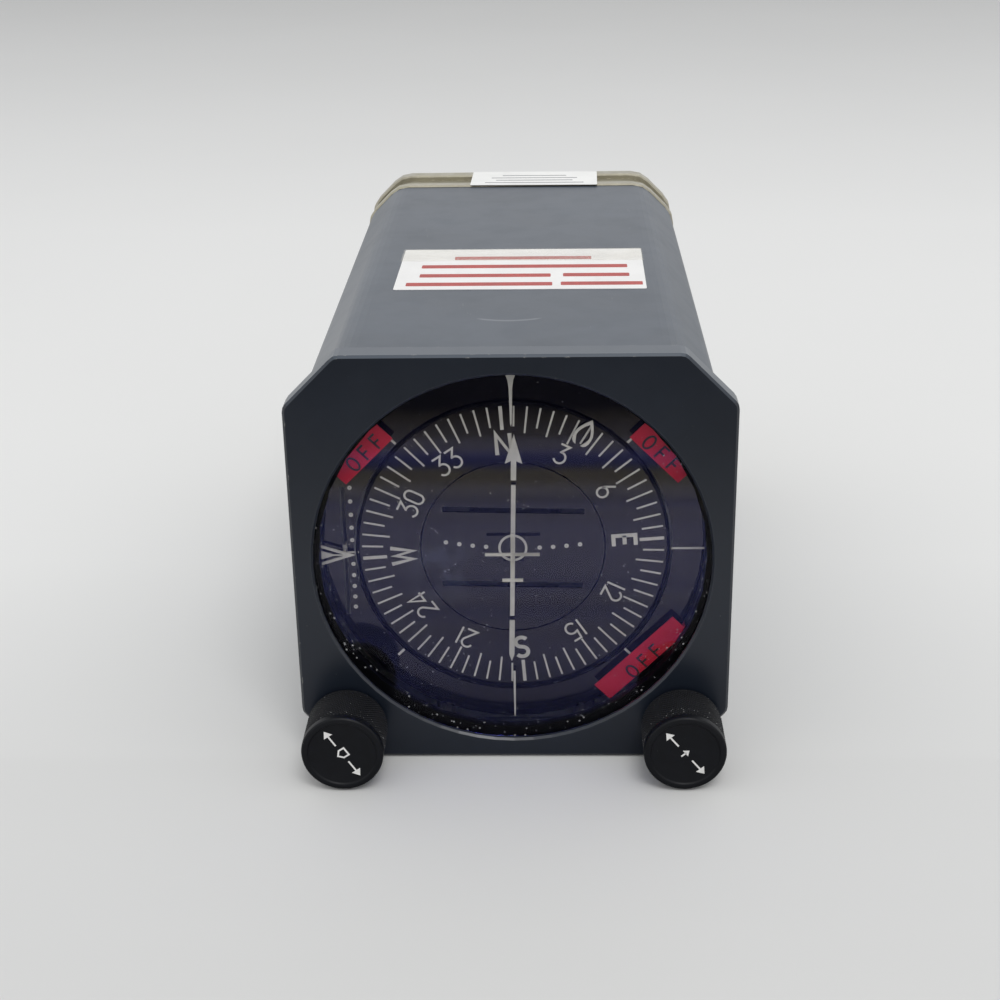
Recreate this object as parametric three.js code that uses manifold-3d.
// Aircraft course indicator: a square panel instrument with a turning compass card, a course arrow with a
// sliding deviation bar, a heading bug, a glideslope pointer, three warning flags and two setting knobs.
// Millimetres. +Y runs from the glass to the rear connectors, +X to the right, +Z up.
// The origin is below the middle of the instrument, on the surface that it stands on.
import * as THREE from "three";
import { mergeVertices } from "three/addons/utils/BufferGeometryUtils.js";
import Module from "manifold-3d";

const wasm = await Module();
wasm.setup();

// Clearances
const fitGap = 0.3;
const runGap = 0.3;
const tubeGap = 0.4;
const overrun = 2;

// Bezel, glass and the rings that hold it
const bezelWidth = 106.4;
const bezelCorner = 12.6;
const bezelBend = 1.2;
const bezelDepth = 7;
const bezelEdge = 0.6;
const bezelRim = 5;
const lensBevel = 0.5;
const lipDepth = 1.2;
const glassLap = 1.8;
const glassThickness = 2.4;
const glassEdge = 0.3;
const gasketThickness = 0.4;
const gasketWidth = 1.4;
const retainerWidth = 2.8;
const retainerDepth = 2.7;

// Fixed marks in front of the card
const symbolThickness = 0.4;
const symbolWing = 13.3;
const symbolWingBar = 0.75;
const symbolTail = 5.1;
const symbolTailBar = 0.8;
const symbolTailDrop = 6.9;
const symbolNose = 5.6;
const symbolRise = 1;
const symbolBody = 0.8;
const lubberThickness = 0.3;
const lubberRoot = 3;
const lubberWaist = 0.85;
const lubberFlare = 4.3;
const lubberFlareBend = 0.55;
const lubberPoint = 0.4;
const lubberLength = 14;
const lowerLubberLength = 13;
const lowerLubberRoot = 0.34;
const lowerLubberEnd = 0.6;
const lubberInset = 0.5;
const lubberFoot = 3;

// Mask, compass card and its drum
const maskFront = 9.7;
const maskThickness = 0.8;
const maskInset = 1.2;
const maskPostRadius = 1.5;
const maskPostInset = 2.7;
const maskBand = 9.1;
const cardRecess = 0.4;
const cardThickness = 0.8;
const drumStep = 2.2;
const drumWall = 0.8;
const cardDrumDepth = 22;
const webThickness = 1.2;
const cardTubeWall = 1.4;

// Heading bug and its drum
const bugThickness = 0.4;
const bugInset = 6.1;
const bugLength = 7.2;
const bugHalfWidth = 2.3;
const bugLine = 0.65;
const bugShoulderShare = 0.35;
const bugCurveShare = 0.4;
const bugInnerCurveShare = 0.45;
const bugAngle = THREE.MathUtils.degToRad(30);
const bugSleeveWall = 0.45;
const bugTubeWall = 1;

// Course disc, arrow and shaft
const courseAngle = THREE.MathUtils.degToRad(1.2);
const discShare = 0.5963;
const discRecess = 0.1;
const discThickness = 0.8;
const arrowThickness = 0.4;
const arrowStand = 0.6;
const arrowInset = 7.6;
const arrowHeadLength = 7.6;
const arrowHeadWidth = 4.2;
const arrowBarb = 0.7;
const arrowShaftWidth = 1.3;
const arrowBreak = 1.3;
const arrowTailInset = 6.9;
const arrowTailPoint = 1.9;
const arrowPinRadius = 0.5;
const courseShaftRadius = 3;
const coursePlateThickness = 1.5;
const coursePlateInset = 2.6;

// Deviation bar, its slider and its movement
const travelInset = 6.1;
const deviationUpperInset = 5.5;
const deviationLowerInset = 4.4;
const deviationWidth = 1.1;
const deviationLegReach = 10;
const deviationLegHeight = 0.8;
const sliderWidth = 2.4;
const sliderDepth = 2.6;
const sliderEnd = 1;
const guideRodRadius = 0.6;
const guideRodReach = 7;
const guideEnd = 1;
const guideEndHeight = 1.2;
const deviationMovementRadius = 12;

// Glideslope pointer and its guide
const glideTravel = 16.5;
const glideDrop = 0.75;
const glideInset = 5.6;
const glideTail = 5.7;
const glideLead = 2.7;
const glideHalfHeight = 2.7;
const glideLine = 0.7;
const glideFillShare = 0.42;
const glideStrip = 0.35;
const glideThickness = 0.3;
const glideArmWidth = 0.6;
const glideArmHeight = 1.2;
const glideSliderWidth = 3;
const glideSliderDepth = 2.4;
const glideSliderHeight = 2.4;
const glideRodRadius = 0.6;
const glideRodEnd = 2;
const glideMovementRadius = 8.4;
const glideMovementDepth = 13;
const glideMovementHeight = 13;
const glideMovementInset = 10.8;

// Warning flags
const flagThickness = 0.3;
const flagShown = 5.8;
const flagHidden = 1.8;
const flagLead = 1.3;
const flagSpan = 16.6;
const flagStroke = 9.8;
const flagStem = 0.8;
const flagStemInset = 0.8;
const flagStemAlong = 4;
const lowerFlagShown = 6.6;
const lowerFlagWidth = 5.6;
const lowerFlagLeft = 11.8;
const lowerFlagRight = 15.4;
const lowerFlagStroke = 9.4;
const lowerFlagLean = THREE.MathUtils.degToRad(15);
const lowerFlagStemInset = 0.7;
const flagMovementRadius = 6;
const flagMovementDepth = 11;
const flagMovementInset = 10.4;
const lowerFlagMovementInset = 17.4;
const lowerFlagMovementRise = 16.7;

// Knobs, their shafts, bushings and gears
const knobInset = 11.6;
const knobRise = 10.2;
const knobRadius = 10.1;
const knobReach = 16;
const knobStand = 1;
const knobRim = 2.3;
const knobRimRound = 1;
const knobFaceRadius = 8.4;
const knobFaceRecess = 0.5;
const knobCollar = 0.8;
const knurlHeight = 0.3;
const knurlColumns = 30;
const knurlRows = 5;
const knobBoreDepth = 9;
const shaftRadius = 2;
const bushingRadius = 3;
const bushingFlange = 3.7;
const bushingFlangeDepth = 1.2;
const knobPinionRadius = 3;
const pinionTeeth = 8;
const inputTeeth = 36;
const pinionLength = 4;
const inputGearThickness = 2.5;
const inputHubRadius = 3;
const inputHubLength = 1.5;
const headingGearLead = 6.5;
const courseGearLead = 8.9;
const layshaftRadius = 1.6;
const cardGearRadius = 20;
const cardTeeth = 40;
const servoTeeth = 12;
const cardGearThickness = 3;
const servoPinionLength = 4;
const servoShaftRadius = 1.5;
const addendumShare = 0.8;
const dedendumShare = 1.25;
const toothTipShare = 0.11;
const toothRootShare = 0.27;

// Frame plates and posts
const plateThickness = 2;
const frontPlateY = 16;
const middlePlateY = 39;
const gearPlateY = 70;
const rearPlateInset = 22.2;
const postRadius = 2.5;
const postX = 17.6;
const postInset = 5.8;
const bearingWall = 3.4;
const bearingDepth = 4;
const frontHoleGap = 0.8;
const lighteningRadius = 9;
const lighteningHeight = 9;
const rearHoleRadius = 18;
const rearHoleDrop = 9;

// Differentials, motor, synchros, board
const differentialCore = 11;
const differentialEnd = 6;
const headingDifferentialY = 50;
const headingDifferentialDepth = 12;
const courseDifferentialY = 75;
const courseDifferentialDepth = 12;
const tubeEntry = 5;
const canRadius = 12.4;
const servoLength = 44;
const synchroLength = 36;
const canNeckRadius = 9;
const canNeckLength = 2;
const canCapLength = 4;
const boardInset = 14.4;
const boardThickness = 1.6;
const boardLead = 8;
const boardClearance = 2;
const boardDrop = 10.7;
const boardFoot = 5;
const componentCount = 4;
const componentPitch = 15;
const componentWidth = 10;
const componentLength = 12;
const componentHeight = 5;

// Case, rear cap and connectors
const panelLedge = 4.2;
const caseCorner = 9.6;
const caseBend = 3.4;
const caseWall = 1.3;
const caseLength = 167.2;
const caseGasket = 0.8;
const capDepth = 19.6;
const capProud = 0.5;
const capWaist = 1.1;
const capFrontBand = 4;
const capRearBand = 5;
const capWall = 1.6;
const sealLip = 0.5;
const capBack = 3;
const capEdge = 0.5;
const connectorX = 21;
const connectorDrop = 6;
const connectorFlange = 30;
const connectorFlangeDepth = 2;
const connectorFlangeBend = 3;
const connectorRadius = 12.6;
const connectorWall = 1.3;
const connectorReach = 14;
const connectorRib = 1.2;
const connectorRibWidth = 2;
const insertDepth = 4;

// Facets
const fineSides = 64;
const dialSides = 48;
const drumSides = 32;
const rodSides = 12;
const pinSides = 8;
const arcSteps = 2;
const fineArcSteps = 4;

// Radii and half widths, each from the one outside it
const bezelHalf = bezelWidth / 2;
const caseHalfWidth = bezelHalf - panelLedge;
const caseHalfHeight = bezelHalf - capProud;
const plateHalfWidth = caseHalfWidth - caseWall - fitGap;
const lensRadius = bezelHalf - bezelRim;
const glassRadius = lensRadius + glassLap;
const rabbetRadius = glassRadius + fitGap;
const maskRadius = lensRadius - maskInset;
const cardRadius = maskRadius - maskBand;
const discRadius = cardRadius * discShare;
const cardDrumRadius = discRadius + drumStep;
const bugSleeveInner = cardRadius + tubeGap;
const bugSleeveOuter = bugSleeveInner + bugSleeveWall;
const maskInner = bugSleeveOuter + tubeGap;

// Marks and pointers over the card
const lubberOuter = maskRadius - lubberInset;
const bugInner = cardRadius - bugInset;
const arrowTip = cardRadius - arrowInset;
const arrowHeadBase = arrowTip - arrowHeadLength;
const arrowTailOuter = cardRadius - arrowTailInset;
const deviationUpper = discRadius - deviationUpperInset;
const deviationLower = discRadius - deviationLowerInset;
const arrowShaftInner = deviationUpper + arrowBreak;
const arrowTailInner = deviationLower + arrowBreak;
const deviationTravel = discRadius - travelInset;
const glideCentre = maskRadius - glideInset;
const glideOuter = glideCentre + glideTail;
const glideTip = glideCentre - glideLead;
const flagInner = maskRadius - flagShown;
const flagHiddenOuter = lensRadius + flagHidden;
const lowerFlagInner = maskRadius - lowerFlagShown;

// Levels down through the front, each from the one before
const glassFront = lipDepth + gasketThickness;
const glassRear = glassFront + glassThickness;
const flagFront = bezelDepth + runGap;
const glideFront = flagFront + flagThickness + runGap;
const cardFront = maskFront + cardRecess;
const bugFront = maskFront - runGap - bugThickness;
const lubberFront = bugFront - runGap - lubberThickness;
const discFront = cardFront + discRecess;
const arrowFront = discFront - arrowStand - arrowThickness;

// Places of the knobs, posts, movements and gears
const knobX = bezelHalf - knobInset;
const knobDrop = bezelHalf - knobRise;
const postZ = caseHalfHeight - postInset;
const glideMovementCentre = plateHalfWidth - glideMovementInset;
const flagMovementCentre = plateHalfWidth - flagMovementInset;
const lowerFlagMovementX = plateHalfWidth - lowerFlagMovementInset;
const lowerFlagMovementZ = caseHalfHeight - lowerFlagMovementRise;
const gearModule = 2 * knobPinionRadius / pinionTeeth;
const cardModule = 2 * cardGearRadius / cardTeeth;

// Nested tubes on the dial's axis, from the inside out
const cardTubeInner = courseShaftRadius + tubeGap;
const cardTubeOuter = cardTubeInner + cardTubeWall;
const bugTubeInner = cardTubeOuter + tubeGap;
const bugTubeOuter = bugTubeInner + bugTubeWall;
const bearingInner = bugTubeOuter + runGap;
const bearingOuter = bearingInner + bearingWall;
const bugDrumInner = cardDrumRadius + drumWall;
const bugDrumOuter = bugDrumInner + drumWall;
const bugFlangeFront = cardFront + cardThickness + 2 * runGap;
const cardWebFront = cardFront + cardDrumDepth;
const bugWebFront = cardWebFront + webThickness + 2 * runGap;
const bugTubeEnd = headingDifferentialY + tubeEntry;
const cardTubeEnd = courseDifferentialY + tubeEntry;
const courseShaftEnd = courseDifferentialY + courseDifferentialDepth - webThickness;

// Behind the course disc
const discRear = discFront + discThickness;
const sliderFront = discRear + 2 * runGap;
const guideY = sliderFront + sliderDepth / 2;
const movementFront = sliderFront + sliderDepth + 2 * runGap;
const coursePlateFront = cardWebFront - runGap - coursePlateThickness;

// Case, cap and connector places
const caseRear = bezelDepth + caseLength;
const capFront = caseRear + caseGasket;
const capRear = capFront + capDepth;
const capInnerBack = capRear - capBack;
const mouthRear = capRear + connectorReach;
const rearPlateY = caseRear - rearPlateInset;
const boardWidth = 2 * (plateHalfWidth - boardInset);
const boardY = gearPlateY + plateThickness + boardLead;
const boardLength = rearPlateY - boardClearance - boardY;
const boardZ = caseHalfHeight - boardDrop;
const middleY = (mouthRear - knobReach) / 2;

const knobPlaces = [
  { side: -1, name: "heading" },
  { side: 1, name: "course" },
];
const cornerSigns = [[-1, 1], [1, 1], [1, -1], [-1, -1]];
const cornerInsetShare = 2 - Math.SQRT2;

// Outlines in the X-Z plane

function roundedOutline(corners, bend, Outline = THREE.Shape) {
  const outline = new Outline();
  corners.forEach((corner, i) => {
    const before = corners[(i + corners.length - 1) % corners.length];
    const after = corners[(i + 1) % corners.length];
    const start = corner.clone().add(before.clone().sub(corner).setLength(bend));
    const end = corner.clone().add(after.clone().sub(corner).setLength(bend));
    if (i === 0) outline.moveTo(start.x, start.y);
    else outline.lineTo(start.x, start.y);
    outline.quadraticCurveTo(corner.x, corner.y, end.x, end.y);
  });
  outline.closePath();
  return outline;
}

function octagonCorners(halfWidth, halfHeight, corner) {
  return cornerSigns.flatMap(([sx, sz]) => {
    const onSide = new THREE.Vector2(sx * halfWidth, sz * (halfHeight - corner));
    const onEnd = new THREE.Vector2(sx * (halfWidth - corner), sz * halfHeight);
    return sx * sz > 0 ? [onEnd, onSide] : [onSide, onEnd];
  }).reverse();
}

function octagon(halfWidth, halfHeight, corner, bend, Outline) {
  return roundedOutline(octagonCorners(halfWidth, halfHeight, corner), bend, Outline);
}

// The case's section, drawn in by an inset all round, its slanted sides too
function caseSection(inset, Outline) {
  const corner = caseCorner - inset * cornerInsetShare;
  return octagon(caseHalfWidth - inset, caseHalfHeight - inset, corner, caseBend, Outline);
}

function rectangle(left, right, low, high, Outline = THREE.Shape) {
  const corners = [[left, low], [right, low], [right, high], [left, high]];
  return new Outline(corners.map(([x, z]) => new THREE.Vector2(x, z)));
}

// A hole's facets touch its circle from outside, so that a round piece clears them
function hole(radius, x = 0, z = 0, sides = rodSides) {
  const reach = radius / Math.cos(Math.PI / sides);
  const points = [];
  for (let i = 0; i < sides; i += 1) {
    const angle = 2 * Math.PI * i / sides;
    points.push(new THREE.Vector2(x + reach * Math.cos(angle), z + reach * Math.sin(angle)));
  }
  return new THREE.Path(points);
}

function disc(radius, sides) {
  const points = [];
  for (let i = 0; i < sides; i += 1) {
    const angle = 2 * Math.PI * i / sides;
    points.push(new THREE.Vector2(radius * Math.cos(angle), radius * Math.sin(angle)));
  }
  return new THREE.Shape(points);
}

function polygon(points, Outline = THREE.Shape) {
  return new Outline(points.map(([x, z]) => new THREE.Vector2(x, z)));
}

function gearOutline(teeth, module, firstTooth) {
  const pitchRadius = teeth * module / 2;
  const tip = pitchRadius + module * addendumShare;
  const root = pitchRadius - module * dedendumShare;
  const pitch = 2 * Math.PI / teeth;
  const points = [];
  for (let i = 0; i < teeth; i += 1) {
    const centre = firstTooth + i * pitch;
    const steps = [
      [root, -toothRootShare], [tip, -toothTipShare], [tip, toothTipShare], [root, toothRootShare],
    ];
    for (const [radius, share] of steps) {
      const angle = centre + share * pitch;
      points.push(new THREE.Vector2(radius * Math.cos(angle), radius * Math.sin(angle)));
    }
  }
  return new THREE.Shape(points);
}

// Solids. A slab is an outline given a thickness along +Y, and a turned piece is a profile of
// [radius, y] points spun about the Y axis.

function slab(outline, thickness, segments = arcSteps) {
  const geometry = new THREE.ExtrudeGeometry(outline, {
    depth: thickness, bevelEnabled: false, curveSegments: segments,
  });
  geometry.rotateX(Math.PI / 2);
  geometry.translate(0, thickness, 0);
  return geometry;
}

function bevelledSlab(outline, thickness, edge, segments = arcSteps) {
  const geometry = new THREE.ExtrudeGeometry(outline, {
    depth: thickness - 2 * edge, bevelEnabled: true, bevelThickness: edge, bevelSize: edge,
    bevelOffset: -edge, bevelSegments: 1, curveSegments: segments,
  });
  geometry.rotateX(Math.PI / 2);
  geometry.translate(0, thickness - edge, 0);
  return geometry;
}

function turned(profile, sides) {
  const points = profile.map(([radius, y]) => new THREE.Vector2(radius, y));
  if (THREE.ShapeUtils.area(points) < 0) points.reverse();
  const onAxis = points.some((point) => point.x === 0);
  if (onAxis) {
    while (!(points[0].x === 0 && points[points.length - 1].x === 0)) points.push(points.shift());
  } else {
    points.push(points[0].clone());
  }
  return new THREE.LatheGeometry(points, sides);
}

function rod(radius, length, sides = rodSides) {
  return turned([[0, 0], [radius, 0], [radius, length], [0, length]], sides);
}

function tube(inner, outer, length, sides = dialSides) {
  return turned([[inner, 0], [outer, 0], [outer, length], [inner, length]], sides);
}

function box(width, depth, height) {
  return new THREE.BoxGeometry(width, depth, height);
}

function moved(geometry, x, y, z) {
  return geometry.clone().translate(x, y, z);
}

// Booleans

function welded(geometry) {
  const bare = geometry.clone();
  for (const name of Object.keys(bare.attributes)) {
    if (name !== "position") bare.deleteAttribute(name);
  }
  const merged = mergeVertices(bare);
  const index = merged.index.array;
  const kept = [];
  for (let i = 0; i < index.length; i += 3) {
    const [a, b, c] = [index[i], index[i + 1], index[i + 2]];
    if (a !== b && b !== c && c !== a) kept.push(a, b, c);
  }
  merged.setIndex(kept);
  return merged;
}

function toManifold(geometry) {
  const mesh = welded(geometry);
  return new wasm.Manifold(new wasm.Mesh({
    numProp: 3,
    vertProperties: new Float32Array(mesh.attributes.position.array),
    triVerts: new Uint32Array(mesh.index.array),
  }));
}

function toGeometry(manifold) {
  const mesh = manifold.getMesh();
  const geometry = new THREE.BufferGeometry();
  const positions = new Float32Array(mesh.vertProperties);
  geometry.setAttribute("position", new THREE.BufferAttribute(positions, mesh.numProp));
  geometry.setIndex(new THREE.BufferAttribute(new Uint32Array(mesh.triVerts), 1));
  return geometry;
}

function cut(body, ...tools) {
  return toGeometry(tools.reduce((rest, tool) => rest.subtract(toManifold(tool)), toManifold(body)));
}

function join(...pieces) {
  return toGeometry(pieces.map(toManifold).reduce((whole, piece) => whole.add(piece)));
}

// Placing

const instrument = new THREE.Group();
instrument.position.set(0, -middleY, bezelHalf);

function place(parent, name, geometry, [color, roughness, metalness], x = 0, y = 0, z = 0) {
  const solid = welded(geometry);
  solid.computeVertexNormals();
  const material = new THREE.MeshStandardMaterial({ color, roughness, metalness });
  const mesh = new THREE.Mesh(solid, material);
  mesh.name = name;
  mesh.position.set(x, y, z);
  parent.add(mesh);
  return mesh;
}

function turnedGroup(angle) {
  const group = new THREE.Group();
  group.rotation.y = angle;
  instrument.add(group);
  return group;
}

// Finishes: colour, roughness, metalness
const slatePaint = [0x22262e, 0.45, 0.1];
const casePaint = [0x2b323b, 0.42, 0.1];
const blackPaint = [0x0c0d10, 0.6, 0];
const dialBlack = [0x101116, 0.8, 0];
const markPaint = [0xbfb6ac, 0.6, 0];
const flagRed = [0xc83a50, 0.55, 0];
const knobBlack = [0x141416, 0.4, 0.1];
const rubber = [0x1a1a1a, 0.9, 0];
const clearGlass = [0xdfe4ec, 0.05, 0];
const aluminium = [0xb4b6b8, 0.35, 0.9];
const steel = [0x9a9da0, 0.3, 0.95];
const brass = [0xb99a54, 0.35, 0.9];
const chromate = [0x9c8a52, 0.4, 0.8];
const boardGreen = [0x2f5a38, 0.6, 0];
const movementBlack = [0x1d1f22, 0.5, 0.3];

// Bezel and glass

function bezelSolid() {
  const body = bevelledSlab(octagon(bezelHalf, bezelHalf, bezelCorner, bezelBend), bezelDepth, bezelEdge);
  const opening = turned([
    [0, -overrun], [lensRadius + lensBevel + overrun, -overrun], [lensRadius, lensBevel],
    [lensRadius, lipDepth], [rabbetRadius, lipDepth], [rabbetRadius, bezelDepth + overrun],
    [0, bezelDepth + overrun],
  ], fineSides);
  const bores = knobPlaces.map(({ side }) => (
    moved(rod(bushingRadius + fitGap, bezelDepth + 2 * overrun), side * knobX, -overrun, -knobDrop)
  ));
  return cut(body, opening, ...bores);
}

function glassSolid() {
  return turned([
    [0, 0], [glassRadius - glassEdge, 0], [glassRadius, glassEdge], [glassRadius, glassThickness - glassEdge],
    [glassRadius - glassEdge, glassThickness], [0, glassThickness],
  ], dialSides);
}

function buildBezel() {
  place(instrument, "front_bezel", bezelSolid(), slatePaint);
  const gasket = tube(glassRadius - gasketWidth, glassRadius, gasketThickness, drumSides);
  place(instrument, "glass_gasket", gasket, rubber, 0, lipDepth);
  place(instrument, "cover_glass", glassSolid(), clearGlass, 0, glassFront);
  const retainer = tube(glassRadius - retainerWidth, glassRadius, retainerDepth, drumSides);
  place(instrument, "glass_retaining_ring", retainer, blackPaint, 0, glassRear);
}

// Aircraft symbol: a wing, a body line and a tailplane, bonded to the inside of the glass

function buildSymbol() {
  const wing = rectangle(-symbolWing / 2, symbolWing / 2, -symbolWingBar / 2, symbolWingBar / 2);
  const tail = rectangle(-symbolTail / 2, symbolTail / 2, -symbolTailBar / 2, symbolTailBar / 2);
  const body = rectangle(-symbolBody / 2, symbolBody / 2, -symbolTailDrop, symbolNose);
  const solid = join(
    slab(wing, symbolThickness),
    moved(slab(tail, symbolThickness), 0, 0, -symbolTailDrop),
    slab(body, symbolThickness),
  );
  place(instrument, "aircraft_symbol", solid, markPaint, 0, glassRear, symbolRise);
}

// Lubber lines: thin blades over the card, each on a foot that stands on the mask

function upperLubber() {
  const root = lubberRoot / 2;
  const waist = lubberWaist / 2;
  const point = lubberPoint / 2;
  const bend = lubberOuter - lubberFlareBend * lubberFlare;
  const outline = new THREE.Shape();
  outline.moveTo(-root, lubberOuter);
  outline.quadraticCurveTo(-waist, bend, -waist, lubberOuter - lubberFlare);
  outline.lineTo(-point, lubberOuter - lubberLength + lubberWaist);
  outline.lineTo(0, lubberOuter - lubberLength);
  outline.lineTo(point, lubberOuter - lubberLength + lubberWaist);
  outline.lineTo(waist, lubberOuter - lubberFlare);
  outline.quadraticCurveTo(waist, bend, root, lubberOuter);
  return outline;
}

function lowerLubber() {
  const root = lowerLubberRoot / 2;
  const end = lowerLubberEnd / 2;
  const inner = lowerLubberLength - lubberOuter;
  return polygon([[-root, -lubberOuter], [root, -lubberOuter], [end, inner], [-end, inner]]);
}

function buildLubber(name, outline, footWidth, footLow) {
  const footOutline = rectangle(-footWidth / 2, footWidth / 2, footLow, footLow + lubberFoot);
  const foot = slab(footOutline, maskFront - lubberFront);
  place(instrument, name, join(slab(outline, lubberThickness), foot), markPaint, 0, lubberFront);
}

// Mask round the card, on four posts, with a slot for the glideslope pointer's arm

function buildMask() {
  const outline = disc(maskRadius, dialSides);
  outline.holes.push(hole(maskInner, 0, 0, dialSides));
  const slotHalf = glideArmWidth / 2 + fitGap;
  const slotReach = glideTravel + glideArmHeight / 2 + fitGap;
  const slotLeft = -glideCentre - slotHalf;
  const slotRight = -glideCentre + slotHalf;
  outline.holes.push(rectangle(slotLeft, slotRight, -slotReach - glideDrop, slotReach - glideDrop, THREE.Path));
  const posts = cornerSigns.map(([sx, sz]) => {
    const along = (maskRadius - maskPostInset) * Math.SQRT1_2;
    return moved(rod(maskPostRadius, frontPlateY - maskFront, pinSides), sx * along, 0, sz * along);
  });
  place(instrument, "dial_mask", join(slab(outline, maskThickness), ...posts), dialBlack, 0, maskFront);
}

// Compass card on its drum, with the drum's tube and gear

function buildCard() {
  const ring = tube(discRadius + runGap, cardRadius, cardThickness);
  place(instrument, "compass_card", ring, dialBlack, 0, cardFront);
  const drumInner = cardDrumRadius - drumWall;
  const front = cardThickness;
  const web = cardDrumDepth;
  const drum = turned([
    [drumInner, front], [cardDrumRadius, front], [cardDrumRadius, web + webThickness],
    [cardTubeOuter, web + webThickness], [cardTubeOuter, cardTubeEnd - cardFront],
    [cardTubeInner, cardTubeEnd - cardFront], [cardTubeInner, web], [drumInner, web],
  ], drumSides);
  place(instrument, "card_drum", drum, aluminium, 0, cardFront);
}

// Heading bug: an open leaf on the edge of a sleeve that turns round the card

function bugOutline() {
  const outline = new THREE.Shape();
  const tip = bugInner + bugLength;
  const shoulder = bugInner + bugLength * bugShoulderShare;
  const inside = bugHalfWidth - bugLine;
  outline.moveTo(0, tip);
  outline.quadraticCurveTo(bugHalfWidth, tip - bugLength * bugCurveShare, bugHalfWidth, shoulder);
  outline.quadraticCurveTo(bugHalfWidth, bugInner, bugLine, bugInner);
  outline.quadraticCurveTo(inside, shoulder - bugLine, inside, shoulder);
  outline.quadraticCurveTo(inside, tip - bugLength * bugInnerCurveShare, 0, tip - 2 * bugLine);
  outline.quadraticCurveTo(-inside, tip - bugLength * bugInnerCurveShare, -inside, shoulder);
  outline.quadraticCurveTo(-inside, shoulder - bugLine, -bugLine, bugInner);
  outline.quadraticCurveTo(-bugHalfWidth, bugInner, -bugHalfWidth, shoulder);
  outline.quadraticCurveTo(-bugHalfWidth, tip - bugLength * bugCurveShare, 0, tip);
  return outline;
}

function buildBug() {
  const group = turnedGroup(bugAngle);
  place(group, "heading_bug", slab(bugOutline(), bugThickness, fineArcSteps), markPaint, 0, bugFront);
  const sleeveFront = bugFront + bugThickness;
  const flange = bugFlangeFront;
  const web = bugWebFront;
  const drum = turned([
    [bugSleeveInner, sleeveFront], [bugSleeveOuter, sleeveFront], [bugSleeveOuter, flange + drumWall],
    [bugDrumOuter, flange + drumWall], [bugDrumOuter, web + webThickness], [bugTubeOuter, web + webThickness],
    [bugTubeOuter, bugTubeEnd], [bugTubeInner, bugTubeEnd], [bugTubeInner, web], [bugDrumInner, web],
    [bugDrumInner, flange], [bugSleeveInner, flange],
  ], drumSides);
  place(instrument, "bug_drum", drum, movementBlack);
}

// Course assembly, which turns as one with the arrow

function buildCourseDisc(group) {
  const outline = disc(discRadius, drumSides);
  const slotHalf = deviationLegHeight / 2 + fitGap;
  const slotReach = deviationTravel + deviationWidth / 2 + fitGap;
  for (const side of [-1, 1]) {
    const centre = side * deviationLegReach;
    outline.holes.push(rectangle(-slotReach, slotReach, centre - slotHalf, centre + slotHalf, THREE.Path));
  }
  place(group, "course_disc", slab(outline, discThickness), dialBlack, 0, discFront);
}

function arrowHeadOutline() {
  const half = arrowShaftWidth / 2;
  const head = arrowHeadWidth / 2;
  return polygon([
    [-half, arrowShaftInner], [half, arrowShaftInner], [half, arrowHeadBase + arrowBarb],
    [head, arrowHeadBase], [0, arrowTip], [-head, arrowHeadBase], [-half, arrowHeadBase + arrowBarb],
  ]);
}

function arrowTailOutline() {
  const half = arrowShaftWidth / 2;
  const shoulder = arrowTailOuter - arrowTailPoint;
  return polygon([
    [-half, -arrowTailInner], [-half, -shoulder], [0, -arrowTailOuter], [half, -shoulder],
    [half, -arrowTailInner],
  ]);
}

function buildArrowPiece(group, name, outline, pinAt) {
  const pin = rod(arrowPinRadius, arrowThickness + arrowStand, pinSides);
  place(group, name, join(slab(outline, arrowThickness), moved(pin, 0, 0, pinAt)), markPaint, 0, arrowFront);
}

// Frame behind the course disc: a round plate on the shaft, and two side posts that carry the disc
// and the two rods that guide the deviation slider

function buildCourseFrame(group) {
  const plateRadius = discRadius - coursePlateInset;
  const plate = moved(rod(plateRadius, coursePlateThickness, drumSides), 0, coursePlateFront, 0);
  const shaft = moved(rod(courseShaftRadius, courseShaftEnd - coursePlateFront), 0, coursePlateFront, 0);
  const pieces = [plate, shaft];
  const reach = deviationTravel + sliderWidth / 2 + runGap;
  const postDepth = coursePlateFront + coursePlateThickness / 2 - discRear;
  for (const side of [-1, 1]) {
    const post = box(guideEnd, postDepth, 2 * (guideRodReach + guideEndHeight));
    pieces.push(moved(post, side * (reach + guideEnd / 2), discRear + postDepth / 2, 0));
    const bar = rod(guideRodRadius, 2 * reach + guideEnd, pinSides).rotateZ(-Math.PI / 2);
    pieces.push(moved(bar, -reach - guideEnd / 2, guideY, side * guideRodReach));
  }
  place(group, "course_frame", join(...pieces), aluminium);
}

function buildDeviation(group) {
  const bar = rectangle(-deviationWidth / 2, deviationWidth / 2, -deviationLower, deviationUpper);
  const legDepth = sliderFront - arrowFront;
  const pieces = [slab(bar, arrowThickness)];
  for (const side of [-1, 1]) {
    const leg = box(deviationWidth, legDepth, deviationLegHeight);
    pieces.push(moved(leg, 0, legDepth / 2, side * deviationLegReach));
  }
  place(group, "deviation_bar", join(...pieces), markPaint, 0, arrowFront);
  const reach = deviationLegReach + sliderEnd;
  const bores = [-1, 1].map((side) => {
    const bore = rod(guideRodRadius + runGap, sliderWidth + 2 * overrun, pinSides).rotateZ(-Math.PI / 2);
    return moved(bore, -sliderWidth / 2 - overrun, guideY, side * guideRodReach);
  });
  const slider = moved(box(sliderWidth, sliderDepth, 2 * reach), 0, guideY, 0);
  place(group, "deviation_slider", cut(slider, ...bores), movementBlack);
}

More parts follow.
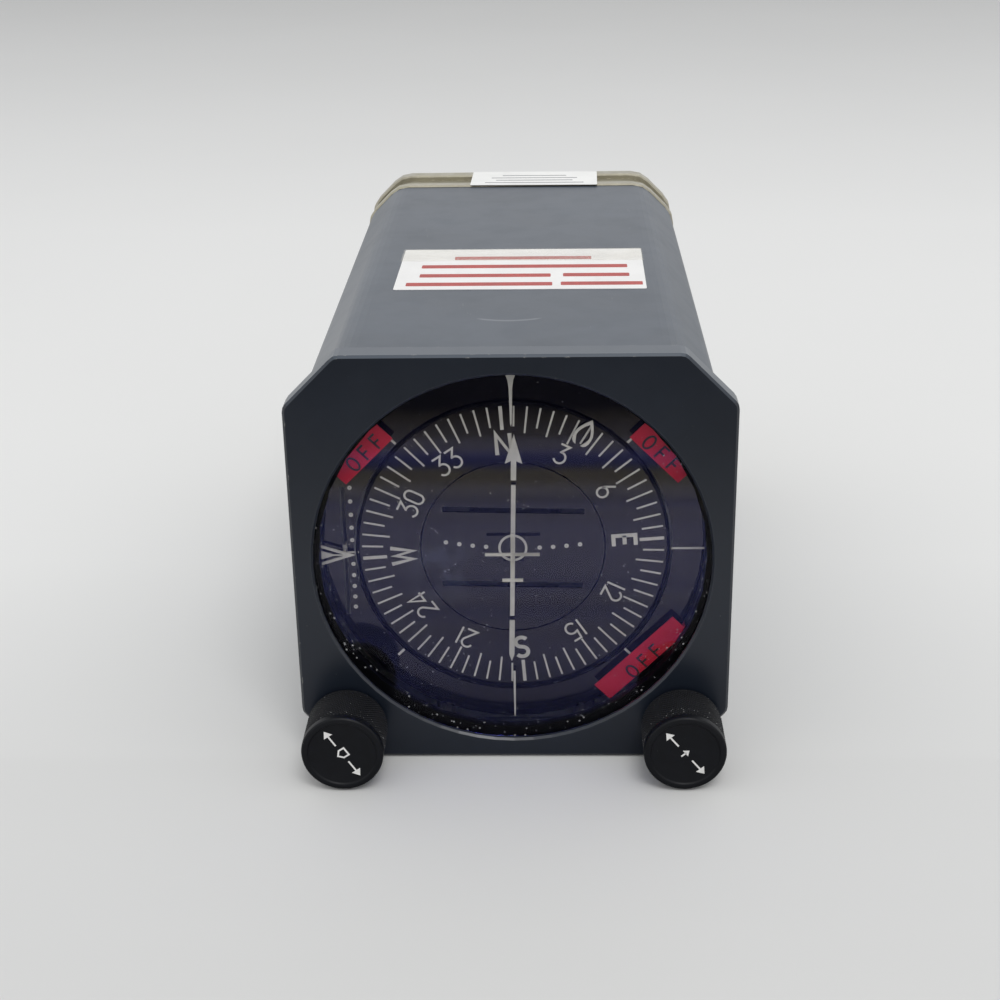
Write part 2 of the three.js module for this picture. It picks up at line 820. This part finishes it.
function buildCourse() {
  const group = turnedGroup(courseAngle);
  buildCourseDisc(group);
  const headPin = (arrowShaftInner + discRadius) / 2;
  buildArrowPiece(group, "course_arrow_head", arrowHeadOutline(), headPin);
  buildArrowPiece(group, "course_arrow_tail", arrowTailOutline(), -(arrowTailInner + discRadius) / 2);
  buildCourseFrame(group);
  buildDeviation(group);
  const movement = rod(deviationMovementRadius, coursePlateFront - movementFront, drumSides / 2);
  place(group, "deviation_movement", movement, movementBlack, 0, movementFront);
}

// Glideslope pointer: an outlined arrow with a filled core, on an arm through the mask to a slider

function glideTriangle(tip, halfHeight) {
  return polygon([[-glideOuter, -halfHeight], [-tip, 0], [-glideOuter, halfHeight]]);
}

function glideFaceSolid() {
  const length = glideOuter - glideTip;
  const slope = glideHalfHeight / length;
  const innerTip = glideTip + glideLine * Math.hypot(1, 1 / slope);
  const openEnd = glideOuter + overrun;
  const openHalf = slope * (openEnd - innerTip);
  const opening = polygon([[-openEnd, -openHalf], [-innerTip, 0], [-openEnd, openHalf]]);
  const coreLength = glideFillShare * length;
  return join(
    cut(
      slab(glideTriangle(glideTip, glideHalfHeight), glideThickness),
      moved(slab(opening, glideThickness + 2 * overrun), 0, -overrun, 0),
    ),
    slab(glideTriangle(glideOuter - coreLength, slope * coreLength), glideThickness),
    slab(rectangle(-glideOuter, -innerTip, -glideStrip / 2, glideStrip / 2), glideThickness),
  );
}

const glideSliderFront = maskFront + maskThickness + 2 * runGap;
const glideRodY = glideSliderFront + glideSliderDepth / 2;
const glideRodX = -glideCentre - glideSliderWidth / 2 + glideArmWidth;

function buildGlidePointer() {
  const armDepth = glideSliderFront - glideFront;
  const arm = moved(box(glideArmWidth, armDepth, glideArmHeight), -glideCentre, armDepth / 2, 0);
  const sliderY = glideRodY - glideFront;
  const slider = moved(box(glideSliderWidth, glideSliderDepth, glideSliderHeight), glideRodX, sliderY, 0);
  const bore = rod(glideRodRadius + runGap, glideSliderHeight + 2 * overrun, pinSides).rotateX(Math.PI / 2);
  const boreLow = -glideSliderHeight / 2 - overrun;
  const pointer = cut(join(glideFaceSolid(), arm, slider), moved(bore, glideRodX, sliderY, boreLow));
  place(instrument, "glideslope_pointer", pointer, markPaint, 0, glideFront, -glideDrop);
}

function buildGlideGuide() {
  const reach = glideTravel + glideSliderHeight / 2 + runGap;
  const guideRod = rod(glideRodRadius, 2 * (reach + glideRodEnd), pinSides).rotateX(Math.PI / 2);
  const pieces = [moved(guideRod, glideRodX, glideRodY, -reach - glideRodEnd)];
  const footDepth = frontPlateY - glideSliderFront;
  for (const side of [-1, 1]) {
    const foot = box(glideSliderWidth, footDepth, glideRodEnd);
    const footZ = side * (reach + glideRodEnd / 2);
    pieces.push(moved(foot, glideRodX, glideSliderFront + footDepth / 2, footZ));
  }
  const back = box(glideSliderWidth, glideArmWidth, 2 * reach);
  pieces.push(moved(back, glideRodX, frontPlateY - glideArmWidth / 2, 0));
  place(instrument, "glideslope_guide", join(...pieces), steel, 0, 0, -glideDrop);
}

function buildGlideslope() {
  buildGlidePointer();
  buildGlideGuide();
  const can = rod(glideMovementRadius, glideMovementDepth, drumSides / 2);
  const y = frontPlateY + plateThickness;
  place(instrument, "glideslope_movement", can, movementBlack, -glideMovementCentre, y, glideMovementHeight);
}

// Warning flags: a red strip across the edge of the dial, on a stem through the front plate. The upper
// two slide straight up and the lower one slides down and outward, out of sight behind the bezel.

function upperFlagOutline(side) {
  const end = flagSpan - flagLead;
  const points = [
    [-flagLead, flagInner], [end, flagInner], [end, flagHiddenOuter], [-flagLead, flagHiddenOuter],
  ];
  return points.map(([along, out]) => [side * (out + along) * Math.SQRT1_2, (out - along) * Math.SQRT1_2]);
}

function lowerFlagOutline() {
  const points = [
    [-lowerFlagLeft, lowerFlagInner], [lowerFlagRight, lowerFlagInner],
    [lowerFlagRight, lowerFlagInner + lowerFlagWidth], [-lowerFlagLeft, lowerFlagInner + lowerFlagWidth],
  ];
  return points.map(([along, out]) => [(out + along) * Math.SQRT1_2, (along - out) * Math.SQRT1_2]);
}

const upperStem = {
  x: (flagHiddenOuter - flagStemInset + flagStemAlong) * Math.SQRT1_2,
  z: (flagHiddenOuter - flagStemInset - flagStemAlong) * Math.SQRT1_2,
};
const lowerStemOut = lowerFlagInner + lowerFlagWidth - lowerFlagStemInset;
const lowerStemAlong = lowerFlagRight - lowerFlagStemInset;
const lowerStem = {
  x: (lowerStemOut + lowerStemAlong) * Math.SQRT1_2,
  z: (lowerStemAlong - lowerStemOut) * Math.SQRT1_2,
};
const flags = [{
  name: "glideslope_flag",
  outline: upperFlagOutline(-1),
  x: -upperStem.x,
  z: upperStem.z,
  turn: 0,
  stroke: flagStroke,
}, {
  name: "navigation_flag",
  outline: upperFlagOutline(1),
  x: upperStem.x,
  z: upperStem.z,
  turn: 0,
  stroke: flagStroke,
}, {
  name: "heading_flag",
  outline: lowerFlagOutline(),
  x: lowerStem.x,
  z: lowerStem.z,
  turn: Math.PI - lowerFlagLean,
  stroke: lowerFlagStroke,
}];

function buildFlag({ name, outline, x, z, turn }) {
  const stemDepth = frontPlateY + plateThickness - runGap - flagFront;
  const stem = box(flagStem, stemDepth, flagStem).rotateY(turn);
  const solid = join(slab(polygon(outline), flagThickness), moved(stem, x, stemDepth / 2, z));
  place(instrument, name, solid, flagRed, 0, flagFront);
}

function flagSlot({ x, z, turn, stroke }) {
  const width = flagStem + 2 * fitGap;
  const slot = box(width, plateThickness + 2 * overrun, stroke + width);
  slot.translate(0, 0, stroke / 2).rotateY(turn);
  return moved(slot, x, plateThickness / 2, z);
}

function buildFlagMovements() {
  const y = frontPlateY + plateThickness;
  const places = [
    ["glideslope_flag_movement", -flagMovementCentre + flagStem, flagMovementCentre],
    ["navigation_flag_movement", flagMovementCentre - flagStem, flagMovementCentre],
    ["heading_flag_movement", lowerFlagMovementX, -lowerFlagMovementZ],
  ];
  for (const [name, x, z] of places) {
    place(instrument, name, rod(flagMovementRadius, flagMovementDepth, rodSides), movementBlack, x, y, z);
  }
}

// Knobs: a smooth rounded cap with a dished face, and a diamond knurl behind it

function knobSolid() {
  const length = knobReach - knobStand;
  const face = knobFaceRadius;
  const rim = knobRimRound;
  const profile = [
    [0, knobFaceRecess], [face - knobFaceRecess, knobFaceRecess], [face, 0], [knobRadius - rim, 0],
    [knobRadius - rim * (1 - Math.SQRT1_2), rim * (1 - Math.SQRT1_2)], [knobRadius, rim],
    [knobRadius, knobRim],
  ];
  const knurlLength = length - knobRim - knobCollar;
  for (let row = 1; row < knurlRows; row += 1) {
    profile.push([knobRadius - knurlHeight, knobRim + knurlLength * row / knurlRows]);
  }
  profile.push([knobRadius - knurlHeight, length - knobCollar], [knobRadius - knurlHeight, length]);
  profile.push([shaftRadius + fitGap, length], [shaftRadius + fitGap, length - knobBoreDepth]);
  profile.push([0, length - knobBoreDepth]);
  const geometry = turned(profile, knurlColumns);
  const position = geometry.attributes.position;
  const low = knobRim + knurlLength / knurlRows / 2;
  const high = length - knobCollar - knurlLength / knurlRows / 2;
  const point = new THREE.Vector3();
  for (let i = 0; i < position.count; i += 1) {
    point.fromBufferAttribute(position, i);
    const radius = Math.hypot(point.x, point.z);
    if (point.y < low || point.y > high || radius < knobRadius - 2 * knurlHeight) continue;
    const row = Math.round((point.y - knobRim) * knurlRows / knurlLength);
    const column = Math.round(Math.atan2(point.x, point.z) / (2 * Math.PI) * knurlColumns + knurlColumns);
    if ((row + column) % 2 === 0) continue;
    const scale = knobRadius / radius;
    position.setXYZ(i, point.x * scale, point.y, point.z * scale);
  }
  return geometry;
}

function bushingSolid() {
  const inner = shaftRadius + runGap;
  return turned([
    [inner, 0], [bushingRadius, 0], [bushingRadius, bezelDepth], [bushingFlange, bezelDepth],
    [bushingFlange, bezelDepth + bushingFlangeDepth], [inner, bezelDepth + bushingFlangeDepth],
  ], rodSides);
}

function gearCentre(side) {
  const distance = gearModule * (pinionTeeth + inputTeeth) / 2;
  const reach = Math.hypot(knobX, knobDrop);
  const toCentre = { x: -side * knobX / reach, z: knobDrop / reach };
  return {
    x: side * knobX + distance * toCentre.x,
    z: -knobDrop + distance * toCentre.z,
    angle: Math.atan2(toCentre.z, toCentre.x),
  };
}

const inputGearFronts = {
  heading: headingDifferentialY - headingGearLead,
  course: gearPlateY - courseGearLead,
};

function buildKnobTrain({ side, name }) {
  const x = side * knobX;
  const z = -knobDrop;
  place(instrument, `${name}_knob`, knobSolid(), knobBlack, x, -knobReach, z);
  place(instrument, `${name}_knob_bushing`, bushingSolid(), brass, x, 0, z);

  const gearFront = inputGearFronts[name];
  const centre = gearCentre(side);
  const pinion = slab(gearOutline(pinionTeeth, gearModule, centre.angle), pinionLength);
  const pinionFront = gearFront + (inputGearThickness - pinionLength) / 2;
  const shaftFront = -knobStand - knobBoreDepth + fitGap;
  const shaft = rod(shaftRadius, pinionFront + overrun - shaftFront);
  const shaftAndPinion = join(moved(shaft, 0, shaftFront, 0), moved(pinion, 0, pinionFront, 0));
  place(instrument, `${name}_knob_shaft`, shaftAndPinion, steel, x, 0, z);

  buildInputGear(name, centre, gearFront);
}

// The input gear's shaft runs into its differential, the heading gear's also forward into the middle plate
function buildInputGear(name, centre, gearFront) {
  const firstTooth = centre.angle + Math.PI + Math.PI / inputTeeth;
  const gear = slab(gearOutline(inputTeeth, gearModule, firstTooth), inputGearThickness);
  const hub = rod(inputHubRadius, inputGearThickness + inputHubLength);
  const layshaftEnds = {
    heading: [middlePlateY + plateThickness / 2, headingDifferentialY + tubeEntry],
    course: [gearFront, courseDifferentialY + tubeEntry],
  };
  const [from, to] = layshaftEnds[name];
  const layshaft = rod(layshaftRadius, to - from, pinSides);
  const solid = join(gear, hub, moved(layshaft, 0, from - gearFront, 0));
  place(instrument, `${name}_input_gear`, solid, brass, centre.x, gearFront, centre.z);
}

// Card gear, with the servo's pinion on one side and the synchro's on the other

const servoReach = cardModule * (cardTeeth + servoTeeth) / 2;
const cardGearFront = gearPlateY - runGap * 3 - cardGearThickness;
const drives = [{
  name: "servo",
  angle: Math.PI / 4,
  length: servoLength,
  can: "servo_motor",
  finish: movementBlack,
}, {
  name: "synchro",
  angle: 3 * Math.PI / 4,
  length: synchroLength,
  can: "compass_synchro",
  finish: steel,
}];

function buildCardGear() {
  const outline = gearOutline(cardTeeth, cardModule, Math.PI / 4);
  outline.holes.push(hole(cardTubeOuter + fitGap));
  place(instrument, "card_gear", slab(outline, cardGearThickness), brass, 0, cardGearFront);
}

function canSolid(length) {
  return turned([
    [0, 0], [canNeckRadius, 0], [canNeckRadius, canNeckLength], [canRadius, canNeckLength],
    [canRadius, length - canCapLength], [canRadius - drumWall, length - canCapLength],
    [canRadius - drumWall, length], [0, length],
  ], drumSides / 2);
}

function buildDrive({ name, angle, length, can, finish }) {
  const x = servoReach * Math.cos(angle);
  const z = servoReach * Math.sin(angle);
  const firstTooth = angle + Math.PI + Math.PI / servoTeeth;
  const pinion = slab(gearOutline(servoTeeth, cardModule, firstTooth), servoPinionLength);
  const pinionFront = cardGearFront + (cardGearThickness - servoPinionLength) / 2;
  const shaftEnd = gearPlateY + plateThickness + canNeckLength;
  const shaft = rod(servoShaftRadius, shaftEnd - pinionFront, pinSides);
  place(instrument, `${name}_pinion`, join(pinion, shaft), steel, x, pinionFront, z);
  const bore = rod(servoShaftRadius + runGap, canNeckLength + fitGap + overrun, pinSides);
  const body = cut(canSolid(length), moved(bore, 0, -overrun, 0));
  place(instrument, can, body, finish, x, gearPlateY + plateThickness, z);
}

// Frame plates on four long posts

function frameOutline() {
  const outline = caseSection(caseWall + fitGap);
  for (const [sx, sz] of cornerSigns) {
    outline.holes.push(hole(postRadius + fitGap, sx * postX, sz * postZ, pinSides));
  }
  return outline;
}

function shaftHole(radius, x, z) {
  return hole(radius + runGap, x, z, pinSides);
}

function knobShaftHoles() {
  return knobPlaces.map(({ side }) => shaftHole(shaftRadius, side * knobX, -knobDrop));
}

function buildFrontPlate() {
  const outline = frameOutline();
  outline.holes.push(hole(bugDrumOuter + frontHoleGap, 0, 0, drumSides), ...knobShaftHoles());
  const plate = cut(slab(outline, plateThickness), ...flags.map(flagSlot));
  place(instrument, "front_plate", plate, aluminium, 0, frontPlateY);
}

function buildMiddlePlate() {
  const outline = frameOutline();
  outline.holes.push(hole(bearingOuter + fitGap, 0, 0, drumSides / 2), ...knobShaftHoles());
  const headingGear = gearCentre(-1);
  outline.holes.push(shaftHole(layshaftRadius, headingGear.x, headingGear.z));
  const along = (plateHalfWidth + bearingOuter) / 2;
  for (const side of [-1, 1]) outline.holes.push(hole(lighteningRadius, side * along, lighteningHeight));
  place(instrument, "middle_plate", slab(outline, plateThickness), aluminium, 0, middlePlateY);
  const bearing = tube(bearingInner, bearingOuter, bearingDepth, drumSides / 2);
  const bearingFront = middlePlateY + (plateThickness - bearingDepth) / 2;
  place(instrument, "drum_bearing", bearing, steel, 0, bearingFront);
}

function buildGearPlate() {
  const outline = frameOutline();
  const courseGear = gearCentre(1);
  outline.holes.push(hole(cardTubeOuter + runGap), shaftHole(layshaftRadius, courseGear.x, courseGear.z));
  for (const { angle } of drives) {
    const x = servoReach * Math.cos(angle);
    outline.holes.push(shaftHole(servoShaftRadius, x, servoReach * Math.sin(angle)));
  }
  place(instrument, "gear_plate", slab(outline, plateThickness), aluminium, 0, gearPlateY);
}

function buildRearPlate() {
  const outline = frameOutline();
  outline.holes.push(hole(rearHoleRadius, 0, -rearHoleDrop, drumSides / 2));
  place(instrument, "rear_plate", slab(outline, plateThickness), aluminium, 0, rearPlateY);
}

function buildPosts() {
  cornerSigns.forEach(([sx, sz], i) => {
    const post = rod(postRadius, capInnerBack - bezelDepth);
    place(instrument, `frame_post_${i + 1}`, post, steel, sx * postX, bezelDepth, sz * postZ);
  });
}

// Differentials: each adds a knob's turn to the card's and drives the tube that enters its front

function differentialOutline(side) {
  const centre = gearCentre(side);
  const distance = Math.hypot(centre.x, centre.z);
  const lean = Math.asin((differentialCore - differentialEnd) / distance);
  const along = Math.atan2(centre.z, centre.x);
  const outline = new THREE.Shape();
  const open = Math.PI / 2 - lean;
  outline.absarc(0, 0, differentialCore, along + open, along - open + 2 * Math.PI);
  outline.absarc(centre.x, centre.z, differentialEnd, along - open, along + open);
  return outline;
}

function buildDifferential({ name, side, front, depth, entering, through, throughDepth }) {
  const centre = gearCentre(side);
  const bores = [
    rod(entering + tubeGap, tubeEntry + runGap + overrun, rodSides * 2),
    rod(through + tubeGap, throughDepth + overrun, rodSides * 2),
    moved(rod(layshaftRadius + runGap, tubeEntry + runGap + overrun, pinSides), centre.x, 0, centre.z),
  ];
  const housing = slab(differentialOutline(side), depth, fineArcSteps);
  const body = cut(housing, ...bores.map((bore) => moved(bore, 0, -overrun, 0)));
  place(instrument, name, body, aluminium, 0, front);
}

const differentials = [{
  name: "heading_differential",
  side: -1,
  front: headingDifferentialY,
  depth: headingDifferentialDepth,
  entering: bugTubeOuter,
  through: cardTubeOuter,
  throughDepth: headingDifferentialDepth + overrun,
}, {
  name: "course_differential",
  side: 1,
  front: courseDifferentialY,
  depth: courseDifferentialDepth,
  entering: cardTubeOuter,
  through: courseShaftRadius,
  throughDepth: courseShaftEnd - courseDifferentialY + fitGap,
}];

// Board with its components, on edge brackets under the top of the case

function buildBoard() {
  const toPlate = rearPlateY - boardY;
  const pieces = [moved(box(boardWidth, boardLength, boardThickness), 0, boardLength / 2, 0)];
  for (const side of [-1, 1]) {
    const foot = box(boardFoot, boardThickness, boardFoot);
    const footX = side * (boardWidth / 2 - boardFoot);
    pieces.push(moved(foot, footX, toPlate - boardThickness, -boardFoot / 2));
    const rail = box(boardThickness, toPlate, boardFoot);
    pieces.push(moved(rail, side * boardWidth / 2, toPlate / 2, 0));
  }
  for (let i = 0; i < componentCount; i += 1) {
    const component = box(componentWidth, componentLength, componentHeight);
    const x = (i - (componentCount - 1) / 2) * componentPitch;
    pieces.push(moved(component, x, boardLength / 2, -componentHeight / 2));
  }
  place(instrument, "circuit_board", join(...pieces), boardGreen, 0, boardY, boardZ);
}

// Case and rear cap

function buildCase() {
  const outer = caseSection(0);
  outer.holes.push(caseSection(caseWall, THREE.Path));
  place(instrument, "instrument_case", slab(outer, caseLength, fineArcSteps), casePaint, 0, bezelDepth);
  const sealOuter = caseSection(0);
  sealOuter.holes.push(caseSection(caseWall + sealLip, THREE.Path));
  place(instrument, "case_gasket", slab(sealOuter, caseGasket), rubber, 0, caseRear);
}

function buildCap() {
  const body = join(
    bevelledSlab(caseSection(-capProud), capFrontBand, capEdge),
    moved(slab(caseSection(capWaist), capDepth - capFrontBand), 0, capFrontBand / 2, 0),
    moved(bevelledSlab(caseSection(-capProud), capRearBand, capEdge), 0, capDepth - capRearBand, 0),
  );
  const cavity = slab(caseSection(capWall + capWaist), capDepth - capBack + overrun);
  const tools = [moved(cavity, 0, -overrun, 0)];
  const connectorHole = rod(connectorRadius - connectorWall, capBack + 2 * overrun, drumSides / 2);
  for (const side of [-1, 1]) {
    tools.push(moved(connectorHole, side * connectorX, capDepth - capBack - overrun, -connectorDrop));
  }
  place(instrument, "rear_cap", cut(body, ...tools), chromate, 0, capFront);
}

// Connectors: a square flange and a round shell with bayonet rib, round a contact insert

function connectorFlangeSolid(bore) {
  const half = connectorFlange / 2;
  const corners = cornerSigns.map(([sx, sz]) => new THREE.Vector2(sx * half, sz * half)).reverse();
  const flange = slab(roundedOutline(corners, connectorFlangeBend), connectorFlangeDepth);
  const opening = rod(bore + connectorWall / 2, connectorFlangeDepth + 2 * overrun, drumSides / 2);
  return cut(flange, moved(opening, 0, -overrun, 0));
}

function connectorShell() {
  const bore = connectorRadius - connectorWall;
  const rib = connectorRadius + connectorRib / 2;
  const ribRear = connectorReach - connectorRibWidth;
  const ribFront = ribRear - connectorRibWidth;
  const barrel = turned([
    [bore, 0], [connectorRadius, 0], [connectorRadius, ribFront], [rib, ribFront], [rib, ribRear],
    [connectorRadius, ribRear], [connectorRadius, connectorReach], [bore, connectorReach],
  ], drumSides / 2);
  return join(connectorFlangeSolid(bore), barrel);
}

function buildConnectors() {
  [["left", -1], ["right", 1]].forEach(([name, side]) => {
    const x = side * connectorX;
    place(instrument, `${name}_connector_shell`, connectorShell(), steel, x, capRear, -connectorDrop);
    const insert = rod(connectorRadius - connectorWall - fitGap, insertDepth + capBack, drumSides / 2);
    place(instrument, `${name}_connector_insert`, insert, blackPaint, x, capRear - capBack, -connectorDrop);
  });
}

buildBezel();
buildSymbol();
buildLubber("upper_lubber_line", upperLubber(), lubberWaist, lubberOuter - lubberFoot);
buildLubber("lower_lubber_line", lowerLubber(), lowerLubberRoot, -lubberOuter);
buildMask();
buildCard();
buildBug();
buildCourse();
buildGlideslope();
flags.forEach(buildFlag);
buildFlagMovements();
knobPlaces.forEach(buildKnobTrain);
buildCardGear();
drives.forEach(buildDrive);
buildFrontPlate();
buildMiddlePlate();
buildGearPlate();
buildRearPlate();
buildPosts();
differentials.forEach(buildDifferential);
buildBoard();
buildCase();
buildCap();
buildConnectors();

export default instrument;
